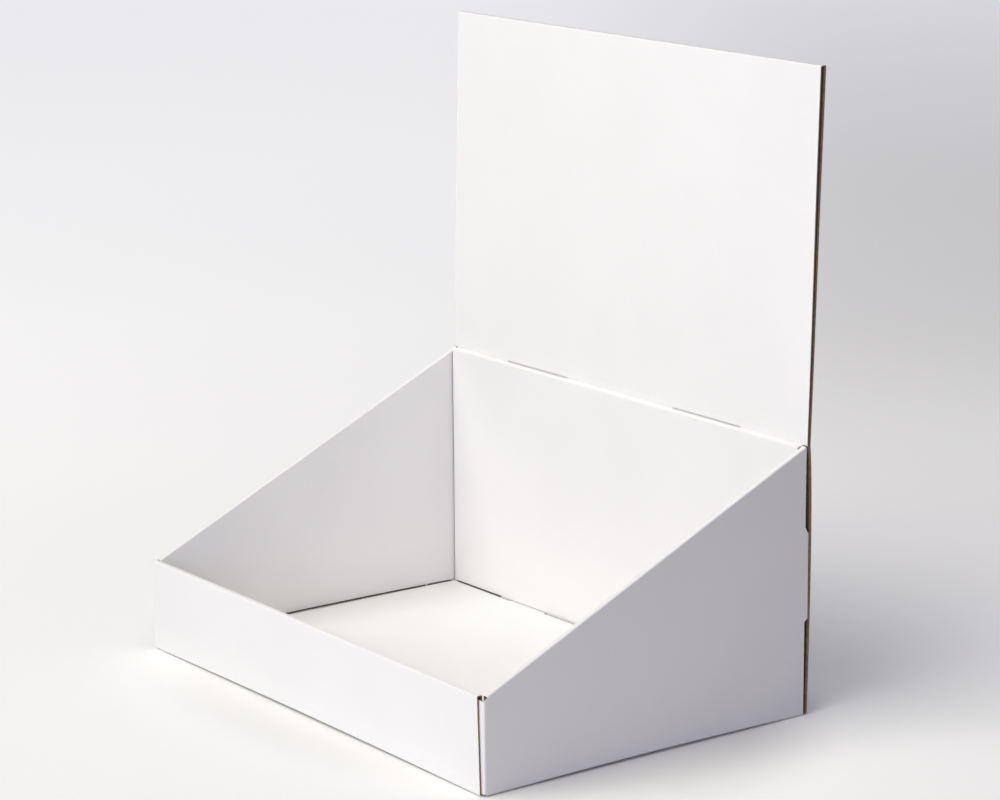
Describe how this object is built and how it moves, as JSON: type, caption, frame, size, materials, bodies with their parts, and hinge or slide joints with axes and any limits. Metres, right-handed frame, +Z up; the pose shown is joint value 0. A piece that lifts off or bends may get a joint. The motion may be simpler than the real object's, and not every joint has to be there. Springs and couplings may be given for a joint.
{
  "type": "display carton",
  "caption": "Folded board counter tray with sloping rolled-over side walls, a low front, a raised floor and a tall flat header panel behind.",
  "frame": {"origin": "centre of the tray's underside, on the surface it stands on", "axes": "+X right seen from the front, +Y to the rear and the header, +Z up"},
  "size_m": [0.3, 0.2096, 0.3289],
  "materials": {
    "white_board": "matt white coated face, brown kraft inner face at the cut edges"
  },
  "bodies": {
    "root": {"folded_carton": "white_board"}
  },
  "joints": []
}
